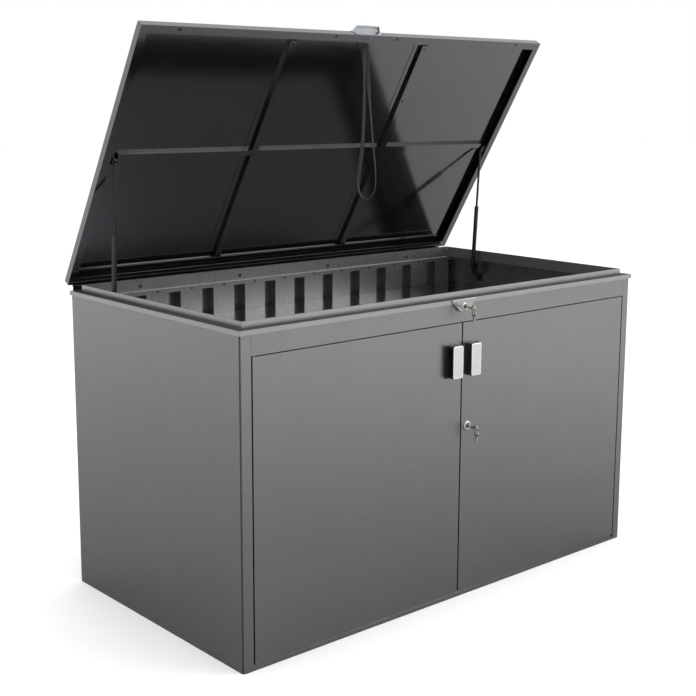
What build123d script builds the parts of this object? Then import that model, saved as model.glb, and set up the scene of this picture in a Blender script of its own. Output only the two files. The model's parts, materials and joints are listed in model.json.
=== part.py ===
from build123d import *
import os
from math import cos, radians, sin, tan

os.makedirs("parts", exist_ok=True)

# Sheet-steel deck storage box, in millimetres. X right, Y to the rear, Z up.
# The origin is the centre of the footprint, on the floor. The lid is built open.

# Cabinet
body_width = 1600.0
body_depth = 850.0
wall_top = 904.0
sheet = 1.2
half_width = body_width / 2
half_depth = body_depth / 2
flange = 22.0

# Rim: an outward lip with an upstanding curb behind it
lip_overhang = 5.0
lip_top = 917.0
curb_inset = 22.0
curb_top = 935.0
curb_hem = 2.6
curb_foot = 898.0
rim_half_width = half_width + lip_overhang
rim_half_depth = half_depth + lip_overhang
curb_face = curb_inset + lip_overhang
curb_back = curb_face + curb_hem

# Base
floor_height = 18.0
runner_width = 60.0

# Front frame
post_outer = 797.0
left_post_inner = 766.0
right_post_inner = 769.0
post_depth = 20.0
side_panel_front = 419.0
fascia_bottom = 848.0
fascia_depth = 28.0

# Rear wall
rear_inner = 391.5
recess_width = 45.0
recess_pitch = 126.6
recess_first = -711.0
recess_count = 12
rear_panel_top = 895.5
rail_bottom = 884.0
rail_top = 897.0

# Deck inside, under the lid
deck_height = 800.0
deck_lip = 18.0

# Lid
open_angle = 59.0
hinge_y = 453.7
hinge_z = 926.0
lid_half_width = 804.4
lid_depth = 872.5
lid_rear = 442.7
lid_rim = 918.0
skirt = 22.75
lid_flange = 24.5
lid_front = lid_rear - lid_depth
lid_under = lid_rim + skirt - sheet

# Doors
door_bottom = 18.0
door_top = 845.0
door_depth = 20.0
door_flange = 15.0
left_door_edges = (-761.4, 0.4)
right_door_edges = (5.6, 764.4)
pivot_from_edge = 10.0
pivot_y = -half_depth + 8.0
pivot_radius = 3.5
pivot_fit = 0.05

# Bolts on the left door
bolt_x = -35.0
bolt_y = -half_depth + 12.0
bolt_radius = 4.0
bolt_hole = 4.6

# Struts
strut_x = 760.0
strut_foot = (249.0, 878.0)
strut_head_closed = (4.1, 928.6)
tube_radius = 7.5
tube_length = 222.0
rod_radius = 4.0
eye_radius = 8.0
eye_half = 3.0
stud_radius = 4.0
running_fit = 0.05

# Locks and keys
lid_lock_x = 0.0
lid_lock_z = 894.5
door_lock_x = 30.5
door_lock_z = 530.0
lock_radius = 9.0
plug_radius = 6.5

# Handles
handle_centre_x = 38.0
handle_centre_z = 735.5
handle_width = 41.0
handle_height = 97.0
handle_depth = 25.0

# The lid's own frame: the hinge line is its origin, its local axes are those of the closed lid.
open_rad = radians(open_angle)
lid_frame = Plane(
    origin=(0, hinge_y, hinge_z),
    x_dir=(1, 0, 0),
    z_dir=(0, sin(open_rad), cos(open_rad)),
)


def save(piece, name):
    """Labels a finished piece and writes it to its own file."""
    piece.part.label = name
    export_step(piece.part, f"parts/{name}.step")


def side_plane(x):
    """A plane across the box at x, with sketch coordinates (y, z)."""
    return Plane(origin=(x, 0, 0), x_dir=(0, 1, 0), z_dir=(1, 0, 0))


def front_plane(y):
    """A plane facing the front at y, with sketch coordinates (x, z)."""
    return Plane(origin=(0, y, 0), x_dir=(1, 0, 0), z_dir=(0, -1, 0))


def lid_level(z):
    """A plane parallel to the lid, with sketch coordinates (x, closed y)."""
    base = lid_frame.from_local_coords((0, -hinge_y, z - hinge_z))
    return Plane(origin=base, x_dir=lid_frame.x_dir, z_dir=lid_frame.z_dir)


def lid_section(x):
    """A plane across the lid at x, with sketch coordinates (closed y, closed z)."""
    base = lid_frame.from_local_coords((x, -hinge_y, -hinge_z))
    return Plane(origin=base, x_dir=lid_frame.y_dir, z_dir=lid_frame.x_dir)


def lid_front_plane(y):
    """A plane facing the lid's front at closed y, with sketch coordinates (x, closed z)."""
    base = lid_frame.from_local_coords((0, y - hinge_y, -hinge_z))
    return Plane(origin=base, x_dir=lid_frame.x_dir, z_dir=-lid_frame.y_dir)


def rect(x_low, x_high, y_low, y_high, mode=Mode.ADD):
    """A rectangle from its four edges."""
    with Locations(((x_low + x_high) / 2, (y_low + y_high) / 2)):
        Rectangle(x_high - x_low, y_high - y_low, mode=mode)


# ---- Base ----

with BuildPart() as floor_pan:
    with BuildSketch(Plane.XY.offset(floor_height)):
        rect(-half_width + sheet, half_width - sheet, -380, rear_inner)
    extrude(amount=sheet)
    with BuildSketch(Plane.XY.offset(floor_height - 12)):
        rect(-half_width + sheet, half_width - sheet, -380, -380 + sheet)
        rect(-half_width + sheet, half_width - sheet, rear_inner - sheet, rear_inner)
    extrude(amount=12)
save(floor_pan, "floor_pan")

runner_wall = 2.0
with BuildPart() as floor_runners:
    for runner_x in (-700.0, 0.0, 700.0):
        with BuildSketch(front_plane(360)):
            rect(runner_x - runner_width / 2, runner_x + runner_width / 2, 0, floor_height)
            rect(
                runner_x - runner_width / 2 + runner_wall,
                runner_x + runner_width / 2 - runner_wall,
                runner_wall,
                floor_height - runner_wall,
                mode=Mode.SUBTRACT,
            )
        extrude(amount=720)
save(floor_runners, "floor_runners")

# ---- Walls and front frame ----


def make_side_panel(side, name):
    """A side wall: a flat web with a flange turned inward along its front and rear edges."""
    with BuildPart() as panel:
        with BuildSketch(Plane.XY):
            outer = side * half_width
            inner = side * (half_width - sheet)
            turned = side * (half_width - flange)
            low, high = sorted((outer, inner))
            rect(low, high, -side_panel_front, half_depth)
            low, high = sorted((turned, inner))
            rect(low, high, -side_panel_front, -side_panel_front + sheet)
        extrude(amount=wall_top)
    save(panel, name)


make_side_panel(-1, "side_panel_left")
make_side_panel(1, "side_panel_right")


def make_post(side, inner, name):
    """A front corner post: a face, a long leg beside the door and a short leg at the corner."""
    with BuildPart() as post:
        with BuildSketch(Plane.XY):
            low, high = sorted((side * inner, side * post_outer))
            rect(low, high, -half_depth, -half_depth + sheet)
            low, high = sorted((side * inner, side * (inner + sheet)))
            rect(low, high, -half_depth, -half_depth + post_depth)
            low, high = sorted((side * (post_outer - sheet), side * post_outer))
            rect(low, high, -half_depth, -side_panel_front)
        extrude(amount=wall_top)
    save(post, name)


make_post(-1, left_post_inner, "front_post_left")
make_post(1, right_post_inner, "front_post_right")

frame_gap = 0.6
sill_x_low = -left_post_inner + frame_gap
sill_x_high = right_post_inner - frame_gap
sill_step = 10.0
sill_top = 15.0
sill_setback = 5.0
sill_back = -half_depth + 44.0
left_pivot_x = left_door_edges[0] + pivot_from_edge
right_pivot_x = right_door_edges[1] - pivot_from_edge

with BuildPart() as front_sill:
    with BuildSketch(side_plane(sill_x_low)):
        front = -half_depth
        with BuildLine():
            Polyline(
                (front, 0),
                (front, sill_step),
                (front + sill_setback, sill_step),
                (front + sill_setback, sill_top),
                (sill_back, sill_top),
                (sill_back, sill_top - sheet),
                (front + sill_setback + sheet, sill_top - sheet),
                (front + sill_setback + sheet, sill_step - sheet),
                (front + sheet, sill_step - sheet),
                (front + sheet, 0),
                close=True,
            )
        make_face()
    extrude(amount=sill_x_high - sill_x_low)
    with Locations((left_pivot_x, pivot_y, sill_top), (right_pivot_x, pivot_y, sill_top)):
        Cylinder(pivot_radius + pivot_fit, 6, mode=Mode.SUBTRACT)
    with Locations((bolt_x, bolt_y, sill_top)):
        Cylinder(bolt_hole, 6, mode=Mode.SUBTRACT)
save(front_sill, "front_sill")

with BuildPart() as front_fascia:
    with BuildSketch(side_plane(sill_x_low)):
        rect(-half_depth, -half_depth + sheet, fascia_bottom, wall_top)
        rect(-half_depth, -half_depth + fascia_depth, fascia_bottom, fascia_bottom + sheet)
        rect(-half_depth, -half_depth + 14, wall_top - sheet, wall_top)
    extrude(amount=sill_x_high - sill_x_low)
    with Locations((left_pivot_x, pivot_y, fascia_bottom), (right_pivot_x, pivot_y, fascia_bottom)):
        Cylinder(pivot_radius + pivot_fit, 6, mode=Mode.SUBTRACT)
    with Locations((bolt_x, bolt_y, fascia_bottom)):
        Cylinder(bolt_hole, 6, mode=Mode.SUBTRACT)
    with BuildSketch(front_plane(-half_depth + 2 * sheet)):
        with Locations((lid_lock_x, lid_lock_z)):
            Circle(lock_radius)
    extrude(amount=6, mode=Mode.SUBTRACT)
    with BuildSketch(Plane.XY.offset(wall_top - 2 * sheet)):
        rect(lid_lock_x - 37, lid_lock_x + 15, -half_depth + sheet, -half_depth + 20)
    extrude(amount=6, mode=Mode.SUBTRACT)
save(front_fascia, "front_fascia")

# The rear wall is one corrugated sheet: flats on the inside, channels standing outward.
with BuildPart() as rear_panel:
    with BuildSketch(Plane.XY.offset(sheet)):
        end_return = 22.0
        left_end = -half_width + 2 * sheet
        right_end = half_width - 2 * sheet
        rect(left_end, right_end, rear_inner, rear_inner + sheet)
        rect(left_end, left_end + end_return, half_depth - sheet, half_depth)
        rect(left_end, left_end + end_return, rear_inner, rear_inner + sheet, mode=Mode.SUBTRACT)
        rect(left_end + end_return - sheet, left_end + end_return, rear_inner, half_depth)
        rect(right_end - end_return, right_end, half_depth - sheet, half_depth)
        rect(right_end - end_return, right_end, rear_inner, rear_inner + sheet, mode=Mode.SUBTRACT)
        rect(right_end - end_return, right_end - end_return + sheet, rear_inner, half_depth)
        for index in range(recess_count):
            left = recess_first + index * recess_pitch - recess_width / 2
            right = left + recess_width
            rect(left - sheet, right + sheet, rear_inner, half_depth)
            rect(left, right, rear_inner, half_depth - sheet, mode=Mode.SUBTRACT)
    extrude(amount=rear_panel_top - sheet)
save(rear_panel, "rear_panel")

with BuildPart() as rear_rail:
    with BuildSketch(side_plane(-half_width + sheet)):
        rect(rear_inner - sheet, rear_inner, rail_bottom, rail_top)
        rect(rear_inner - sheet, half_depth - sheet, rail_top - sheet, rail_top)
    extrude(amount=2 * (half_width - sheet))
save(rear_rail, "rear_rail")

rivet_radius = 3.2
with BuildPart() as rail_rivets:
    with BuildSketch(front_plane(rear_inner - sheet)):
        for index in range(recess_count - 1):
            with Locations((recess_first + (index + 0.5) * recess_pitch, rail_bottom + 6)):
                Circle(rivet_radius)
    extrude(amount=1.4)
save(rail_rivets, "rail_rivets")

# ---- Rim: four mitred pieces ----
mitre_gap = 0.25


# The rim's section: distance in from the lip's outer face, and height.
rim_outline = [
    (0, wall_top),
    (0, lip_top),
    (curb_face, lip_top),
    (curb_face, curb_top),
    (curb_back, curb_top),
    (curb_back, curb_foot),
    (curb_back - sheet, curb_foot),
    (curb_back - sheet, lip_top - sheet),
    (sheet, lip_top - sheet),
    (sheet, wall_top),
]


def make_rim(name, outward, half_length, half_span, slot=None, plugs=None):
    """One rim piece with mitred ends. outward is the compass direction that its lip faces."""
    along = Vector(0, 0, 1).cross(outward)
    start = outward * half_span - along * half_length
    outer = half_length - mitre_gap
    inner = outer - curb_back
    footprint = [
        outward * half_span - along * outer,
        outward * half_span + along * outer,
        outward * (half_span - curb_back) + along * inner,
        outward * (half_span - curb_back) - along * inner,
    ]
    with BuildPart() as rim:
        with BuildSketch(Plane(origin=start, x_dir=-outward, z_dir=along)):
            with BuildLine():
                Polyline(*rim_outline, close=True)
            make_face()
        extrude(amount=2 * half_length)
        with BuildSketch(Plane.XY.offset(curb_foot)):
            with BuildLine():
                Polyline(*[(corner.X, corner.Y) for corner in footprint], close=True)
            make_face()
        extrude(amount=curb_top - curb_foot, mode=Mode.INTERSECT)
        if slot:
            with BuildSketch(Plane.XY.offset(lip_top - 2 * sheet)):
                rect(*slot)
            extrude(amount=4, mode=Mode.SUBTRACT)
        if plugs:
            with BuildSketch(front_plane(rim_half_depth - curb_face + 1)):
                with Locations(plugs):
                    Circle(plug_stem)
            extrude(amount=curb_hem + 2, mode=Mode.SUBTRACT)
    save(rim, name)


plug_stem = 3.0
plug_head = 5.5
curb_plug_spots = [(index * 380.0 - 577.5, lip_top - 5.0) for index in range(4)]
hook_slot = (lid_lock_x - 28, lid_lock_x + 6, -424.5, -413.5)

make_rim("rim_front", Vector(0, -1, 0), rim_half_width, rim_half_depth, slot=hook_slot)
make_rim("rim_rear", Vector(0, 1, 0), rim_half_width, rim_half_depth, plugs=curb_plug_spots)
make_rim("rim_left", Vector(-1, 0, 0), rim_half_depth, rim_half_width)
make_rim("rim_right", Vector(1, 0, 0), rim_half_depth, rim_half_width)

with BuildPart() as curb_plugs:
    with BuildSketch(front_plane(rim_half_depth - curb_back)):
        with Locations(curb_plug_spots):
            Circle(plug_head)
    extrude(amount=1.5)
    with BuildSketch(front_plane(rim_half_depth - curb_back)):
        with Locations(curb_plug_spots):
            Circle(plug_stem)
    extrude(amount=-curb_hem)
save(curb_plugs, "curb_plugs")

# A thin rubber strip on the lip, which the lid's flange closes on.
seal_outer = 4.0
seal_inner = 26.0
seal_thickness = 0.7
with BuildPart() as lid_seal:
    with BuildSketch(Plane.XY.offset(lip_top)):
        Rectangle(2 * (rim_half_width - seal_outer), 2 * (rim_half_depth - seal_outer))
        Rectangle(2 * (rim_half_width - seal_inner), 2 * (rim_half_depth - seal_inner), mode=Mode.SUBTRACT)
        rect(*hook_slot, mode=Mode.SUBTRACT)
    extrude(amount=seal_thickness)
save(lid_seal, "lid_seal")

# ---- Deck and its ledges ----
deck_half_width = half_width - sheet - 1.0
deck_front = -half_depth + 42.0
deck_rear = rear_inner - 0.5
with BuildPart() as inner_deck:
    with BuildSketch(Plane.XY.offset(deck_height - sheet)):
        rect(-deck_half_width, deck_half_width, deck_front, deck_rear)
    extrude(amount=sheet)
    with BuildSketch(Plane.XY.offset(deck_height - deck_lip)):
        rect(-deck_half_width, deck_half_width, deck_front, deck_front + sheet)
        rect(-deck_half_width, deck_half_width, deck_rear - sheet, deck_rear)
    extrude(amount=deck_lip - sheet)
save(inner_deck, "inner_deck")


ledge_width = 26.0
ledge_height = 30.0
with BuildPart() as deck_ledges:
    for side in (-1, 1):
        with BuildSketch(front_plane(deck_rear - 4)):
            wall = side * (half_width - sheet)
            low, high = sorted((wall, side * (half_width - 3 * sheet)))
            rect(low, high, deck_height - ledge_height, deck_height - sheet)
            low, high = sorted((wall, side * (half_width - ledge_width)))
            rect(low, high, deck_height - 3 * sheet, deck_height - sheet)
        extrude(amount=deck_rear - deck_front - 8)
save(deck_ledges, "deck_ledges")

# ---- Doors ----


stiffener_half = 22.0
stiffener_depth = 14.0


def make_door(edges, name, cuts=None):
    """A door: a shallow pan with a return flange all round and a stiffener welded up its middle."""
    low, high = edges
    front = -half_depth
    back = front + door_depth
    with BuildPart() as door:
        with BuildSketch(front_plane(back)):
            rect(low, high, door_bottom, door_top)
        extrude(amount=door_depth)
        with BuildSketch(front_plane(back - sheet)):
            rect(low + sheet, high - sheet, door_bottom + sheet, door_top - sheet)
        extrude(amount=door_depth - 2 * sheet, mode=Mode.SUBTRACT)
        with BuildSketch(front_plane(back)):
            edge = door_flange
            rect(low + edge, high - edge, door_bottom + edge, door_top - edge)
        extrude(amount=sheet, mode=Mode.SUBTRACT)
        skin = front + sheet
        middle = (low + high) / 2
        with BuildSketch(Plane.XY.offset(door_bottom + sheet)):
            rect(middle - stiffener_half, middle + stiffener_half, skin, skin + stiffener_depth)
            inner = stiffener_half - sheet
            rect(middle - inner, middle + inner, skin, skin + stiffener_depth - sheet, mode=Mode.SUBTRACT)
        extrude(amount=door_top - door_bottom - 2 * sheet)
        if cuts:
            cuts()
    save(door, name)


def pivot_cuts(pivot_x):
    """Holes in the door's top and bottom returns for its pivot pins."""
    with Locations((pivot_x, pivot_y, door_bottom), (pivot_x, pivot_y, door_top)):
        Cylinder(pivot_radius, 6, mode=Mode.SUBTRACT)




def left_door_cuts():
    """Pivot pin holes, and holes for the two bolts."""
    pivot_cuts(left_pivot_x)
    with Locations((bolt_x, bolt_y, door_bottom), (bolt_x, bolt_y, door_top)):
        Cylinder(bolt_radius + running_fit, 6, mode=Mode.SUBTRACT)


def right_door_cuts():
    """Pivot pin holes, and the lock's hole."""
    pivot_cuts(right_pivot_x)
    with Locations(Location((door_lock_x, -half_depth, door_lock_z), (90, 0, 0))):
        Cylinder(lock_radius, 6, mode=Mode.SUBTRACT)


make_door(left_door_edges, "door_left", left_door_cuts)
make_door(right_door_edges, "door_right", right_door_cuts)


def make_pivot_pins(pivot_x, name):
    """The two pins that a door turns on, each with a collar inside the door's return."""
    pin_in = 14.0
    with BuildPart() as pins:
        for low, high in ((sill_top - 2.5, door_bottom + pin_in), (door_top - pin_in, fascia_bottom + 3)):
            with BuildSketch(Plane.XY.offset(low)):
                with Locations((pivot_x, pivot_y)):
                    Circle(pivot_radius)
            extrude(amount=high - low)
        for low in (door_bottom + sheet, door_top - sheet - 4):
            with BuildSketch(Plane.XY.offset(low)):
                with Locations((pivot_x, pivot_y)):
                    Circle(6)
            extrude(amount=4)
    save(pins, name)


make_pivot_pins(left_pivot_x, "pivot_pins_left")
make_pivot_pins(right_pivot_x, "pivot_pins_right")


# ---- Door handles: a mirrored pair, each open to the outside for the fingers ----


def make_handle(side, name):
    """A pull: base plate, solid wall at the centre side, finger space at the outer side."""
    front = -half_depth
    inner = side * (handle_centre_x - handle_width / 2)
    outer = side * (handle_centre_x + handle_width / 2)
    low, high = sorted((inner, outer))
    z_low = handle_centre_z - handle_height / 2
    z_high = handle_centre_z + handle_height / 2
    with BuildPart() as handle:
        with BuildSketch(front_plane(front)):
            base_low, base_high = sorted((inner, side * (handle_centre_x + handle_width / 2 + 13)))
            rect(base_low, base_high, z_low, z_high)
            fillet(vertices(), 6)
        extrude(amount=2.5)
        with BuildSketch(front_plane(front)):
            rect(low, high, z_low, z_high)
            fillet(vertices(), 6)
        extrude(amount=handle_depth)
        fillet(faces().sort_by(Axis.Y)[0].edges(), 2.5)
        with BuildSketch(front_plane(front - 2.5)):
            cave_low, cave_high = sorted((inner + side * 5, outer + side * 5))
            rect(cave_low, cave_high, z_low + 6, z_high - 6)
        extrude(amount=handle_depth - 2.5 - 4.5, mode=Mode.SUBTRACT)
        with BuildSketch(front_plane(front - handle_depth + 1)):
            with Locations(((low + high) / 2, handle_centre_z)):
                RectangleRounded(cap_width, cap_height, 5)
        extrude(amount=3, mode=Mode.SUBTRACT)
    save(handle, name)
    with BuildPart() as cap:
        with BuildSketch(front_plane(front - handle_depth + 1)):
            with Locations(((low + high) / 2, handle_centre_z)):
                RectangleRounded(cap_width - 0.2, cap_height - 0.2, 4.9)
        extrude(amount=1.5)
        fillet(cap.faces().sort_by(Axis.Y)[0].edges(), 0.6)
    save(cap, name.replace("handle", "handle_cap"))


cap_width = handle_width - 8
cap_height = handle_height - 8
make_handle(-1, "handle_left")
make_handle(1, "handle_right")

# ---- Bolts that hold the left door shut ----
bolt_travel = 12.0
bolt_length = 90.0


guide_setbacks = (34.0, 85.0)


def bolt_end(sign):
    """Height of a bolt's outer end at rest. sign is 1 for the upper bolt, -1 for the lower."""
    return door_top - 2.5 if sign > 0 else door_bottom + 2.5


def make_bolt(sign, name):
    """One sliding rod with a thumb knob."""
    end = bolt_end(sign)
    low, high = sorted((end, end - sign * bolt_length))
    knob_z = end - sign * 60
    with BuildPart() as bolt:
        with BuildSketch(Plane.XY.offset(low)):
            with Locations((bolt_x, bolt_y)):
                Circle(bolt_radius)
        extrude(amount=high - low)
        with BuildSketch(front_plane(bolt_y + 16)):
            with Locations((bolt_x, knob_z)):
                Circle(3)
        extrude(amount=16)
        with BuildSketch(front_plane(bolt_y + 22)):
            with Locations((bolt_x, knob_z)):
                Circle(5.5)
        extrude(amount=6)
    save(bolt, name)


make_bolt(1, "bolt_upper")
make_bolt(-1, "bolt_lower")

with BuildPart() as bolt_guides:
    for sign in (-1, 1):
        for setback in guide_setbacks:
            with BuildSketch(Plane.XY.offset(bolt_end(sign) - sign * setback - 4)):
                rect(bolt_x - 8, bolt_x + 8, -half_depth + sheet, bolt_y + 6.5)
                with Locations((bolt_x, bolt_y)):
                    Circle(bolt_radius + running_fit, mode=Mode.SUBTRACT)
            extrude(amount=8)
save(bolt_guides, "bolt_guides")

# ---- Locks ----


key_thickness = 2.2
key_blade = 15.0
core_slot = 16.0
key_blade_height = 7.6
key_bow_radius = 7.0
key_hole_offset = 3.2
spare_blade = 16.0
key_reach = 35.0
key_hole_radius = 2.5
ring_radius = 6.0
ring_wire = 0.9


def make_key(x, z, face_y, name, ring_name):
    """A key standing in its lock, and a ring with a spare key hanging from it."""
    bow_y = face_y - key_reach + key_bow_radius - 3
    with BuildPart() as key:
        with BuildSketch(side_plane(x - key_thickness / 2)):
            with Locations((bow_y, z)):
                Ellipse(key_bow_radius, key_bow_radius + 2)
            rect(bow_y, face_y - 0.5, z - 5.5, z + 5.5)
            rect(bow_y, face_y + key_blade - 1, z - key_blade_height / 2, z + key_blade_height / 2)
            with Locations((bow_y - key_hole_offset, z)):
                Circle(key_hole_radius, mode=Mode.SUBTRACT)
        extrude(amount=key_thickness)
    save(key, name)
    hole_y = bow_y - key_hole_offset
    ring_top = z - key_hole_radius + ring_wire + 0.2
    ring_centre = ring_top - ring_radius
    spare_z = ring_centre - ring_radius - key_hole_radius + ring_wire + 0.2
    with BuildPart() as ring:
        with BuildSketch(Plane(origin=(x, hole_y, ring_centre), x_dir=(0, 1, 0), z_dir=(1, 0, 0))):
            with Locations((0, ring_radius)):
                Circle(ring_wire)
        revolve(axis=Axis((x, hole_y, ring_centre), (0, 1, 0)), revolution_arc=360)
    save(ring, ring_name)
    with BuildPart() as spare:
        bow_z = spare_z - key_hole_offset
        with BuildSketch(side_plane(x - key_thickness / 2)):
            with Locations((hole_y, bow_z)):
                Ellipse(key_bow_radius + 2, key_bow_radius)
            rect(hole_y - 5, hole_y + 5, bow_z - key_bow_radius - 2, bow_z - 3)
            rect(hole_y - 3.5, hole_y + 3.5, bow_z - key_bow_radius - spare_blade, bow_z - 5)
            with Locations((hole_y, spare_z)):
                Circle(key_hole_radius, mode=Mode.SUBTRACT)
        extrude(amount=key_thickness)
    save(spare, ring_name.replace("ring", "spare"))
    return hole_y, ring_top


def make_housing(x, z, flange_radius, front_y, seat_y, back_y, name):
    """A fixed lock barrel with a round rosette on the outside."""
    with BuildPart() as housing:
        with BuildSketch(front_plane(back_y)):
            with Locations((x, z)):
                Circle(lock_radius)
        extrude(amount=back_y - seat_y)
        with BuildSketch(front_plane(seat_y)):
            with Locations((x, z)):
                Circle(flange_radius)
        extrude(amount=seat_y - front_y)
        fillet(housing.faces().sort_by(Axis.Y)[0].edges(), 1)
        with BuildSketch(front_plane(back_y + 1)):
            with Locations((x, z)):
                Circle(plug_radius + running_fit)
        extrude(amount=back_y - front_y + 2, mode=Mode.SUBTRACT)
    save(housing, name)


# Lid lock: a plated cover on the lip and fascia, a barrel, and a hook that rises through the lip.
cover_face = -rim_half_depth - 4.0
cover_sheet = 2.0
cover_half_top = 48.0
cover_half_bottom = 16.0
cover_bottom = 881.0
hook_y = -half_depth + 6.0
hook_half = 1.5
hook_inner = 29.0
hook_outer = 34.0
hook_arm = 4.0
hook_nose_angle = 28.0


def cover_outline(inset):
    """The cover's corners, wide at the top and narrow at the bottom, moved in by inset."""
    return [
        (lid_lock_x - cover_half_top + inset, lip_top - inset),
        (lid_lock_x + cover_half_top - inset, lip_top - inset),
        (lid_lock_x + cover_half_top - inset, lip_top - 8),
        (lid_lock_x + cover_half_bottom - inset, cover_bottom + inset),
        (lid_lock_x - cover_half_bottom + inset, cover_bottom + inset),
        (lid_lock_x - cover_half_top + inset, lip_top - 8),
    ]


with BuildPart() as lid_lock_cover:
    with BuildSketch(front_plane(-half_depth)):
        with BuildLine():
            Polyline(*cover_outline(0), close=True)
        make_face()
    extrude(amount=-half_depth - cover_face)
    fillet(faces().sort_by(Axis.Y)[0].edges(), 1.2)
    with BuildSketch(front_plane(-half_depth)):
        with BuildLine():
            Polyline(*cover_outline(cover_sheet), close=True)
        make_face()
    extrude(amount=-half_depth - cover_face - cover_sheet, mode=Mode.SUBTRACT)
    with BuildSketch(front_plane(-half_depth)):
        rect(lid_lock_x - cover_half_top - 1, lid_lock_x + cover_half_top + 1, wall_top - 0.1, lip_top + 1)
    extrude(amount=lip_overhang, mode=Mode.SUBTRACT)
    with Locations(Location((lid_lock_x, cover_face, lid_lock_z), (90, 0, 0))):
        Cylinder(lock_radius, 10, mode=Mode.SUBTRACT)
save(lid_lock_cover, "lid_lock_cover")


lid_lock_front = cover_face - 3.5
make_housing(lid_lock_x, lid_lock_z, 12.0, lid_lock_front, cover_face, hook_y - hook_half - 1, "lid_lock_barrel")


def make_core(x, z, face_y, back_y, tail_y, name):
    """A turning lock core: key slot in its face, reduced tail that carries the cam, and a nut."""
    with BuildPart() as core:
        with BuildSketch(front_plane(back_y)):
            with Locations((x, z)):
                Circle(plug_radius)
        extrude(amount=back_y - face_y)
        with BuildSketch(front_plane(tail_y)):
            with Locations((x, z)):
                Circle(plug_radius - 1.5)
        extrude(amount=tail_y - back_y)
        with BuildSketch(front_plane(face_y + core_slot)):
            with Locations((x, z)):
                Rectangle(key_thickness + 0.1, key_blade_height + 0.1)
        extrude(amount=core_slot + 1, mode=Mode.SUBTRACT)
    save(core, name)


make_core(lid_lock_x, lid_lock_z, lid_lock_front - 0.5, hook_y - hook_half, hook_y + hook_half + 6, "lid_lock_core")
nose = radians(hook_nose_angle)
inner_tip = (-hook_inner * cos(nose), hook_inner * sin(nose))
outer_tip = (-hook_outer * cos(nose), hook_outer * sin(nose))
inner_mid = (-hook_inner * cos(nose / 2), hook_inner * sin(nose / 2))
outer_mid = (-hook_outer * cos(nose / 2), hook_outer * sin(nose / 2))
# At rest the hook's arm lies flat, with its nose turned up.
with BuildPart() as lid_lock_hook:
    with BuildSketch(
        Plane(origin=(lid_lock_x, hook_y + hook_half, lid_lock_z), x_dir=(1, 0, 0), z_dir=(0, -1, 0))
    ):
        with BuildLine():
            Line((-hook_inner, -hook_arm), (-hook_outer + 1, -hook_arm))
            Line((-hook_outer + 1, -hook_arm), (-hook_outer, 0))
            ThreePointArc((-hook_outer, 0), outer_mid, outer_tip)
            Line(outer_tip, inner_tip)
            ThreePointArc(inner_tip, inner_mid, (-hook_inner, 0))
            Line((-hook_inner, 0), (-hook_inner, -hook_arm))
        make_face()
        Circle(8)
        rect(-hook_inner - 0.5, 0, -hook_arm, hook_arm)
        Circle(plug_radius - 1.5, mode=Mode.SUBTRACT)
    extrude(amount=2 * hook_half)
save(lid_lock_hook, "lid_lock_hook")
lid_ring_y, lid_ring_z = make_key(lid_lock_x, lid_lock_z, lid_lock_front - 0.5, "lid_key", "lid_key_ring")

# Door lock: rosette, barrel, core, and a cam that turns behind the other door's flange.
door_lock_front = -half_depth - 4.0
door_cam_y = -half_depth + door_depth + 2.5
door_cam_length = 42.0
make_housing(
    door_lock_x, door_lock_z, 15.0, door_lock_front, -half_depth, door_cam_y - 2, "door_lock_barrel"
)
make_core(door_lock_x, door_lock_z, door_lock_front - 0.5, door_cam_y - 1.5, door_cam_y + 6, "door_lock_core")
with BuildPart() as door_lock_cam:
    with BuildSketch(front_plane(door_cam_y + 1.5)):
        with Locations((door_lock_x, door_lock_z)):
            Circle(9)
        rect(door_lock_x - 7, door_lock_x + 7, door_lock_z - door_cam_length, door_lock_z)
        with Locations((door_lock_x, door_lock_z)):
            Circle(plug_radius - 1.5, mode=Mode.SUBTRACT)
    extrude(amount=3)
save(door_lock_cam, "door_lock_cam")
door_ring_y, door_ring_z = make_key(door_lock_x, door_lock_z, door_lock_front - 0.5, "door_key", "door_key_ring")

# ---- Hinge along the rear: long knuckles in turn on the body's leaf and the lid's leaf ----
hinge_half_length = 780.0
knuckle_count = 13
knuckle_gap = 0.4
knuckle_radius = 4.5
hinge_pin_radius = 2.5
leaf_clear = 5.2
knuckle_pitch = 2 * hinge_half_length / knuckle_count


def knuckle_spans(first):
    """Start and end of every second knuckle."""
    spans = []
    for index in range(first, knuckle_count, 2):
        start = -hinge_half_length + index * knuckle_pitch + knuckle_gap / 2
        spans.append((start, start + knuckle_pitch - knuckle_gap))
    return spans


with BuildPart() as hinge_leaf_body:
    foot = 908.0
    with BuildSketch(side_plane(-hinge_half_length)):
        rect(rim_half_depth, rim_half_depth + sheet, wall_top + 0.5, foot)
        rect(rim_half_depth, hinge_y + sheet / 2, foot - sheet, foot)
        rect(hinge_y - sheet / 2, hinge_y + sheet / 2, foot - sheet, hinge_z - leaf_clear)
    extrude(amount=2 * hinge_half_length)
    for start, end in knuckle_spans(0):
        with BuildSketch(side_plane(start)):
            with Locations((hinge_y, hinge_z)):
                Circle(knuckle_radius)
            rect(hinge_y - sheet / 2, hinge_y + sheet / 2, hinge_z - leaf_clear - 1, hinge_z - 3)
            with Locations((hinge_y, hinge_z)):
                Circle(hinge_pin_radius + running_fit, mode=Mode.SUBTRACT)
        extrude(amount=end - start)
save(hinge_leaf_body, "hinge_leaf_body")

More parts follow.
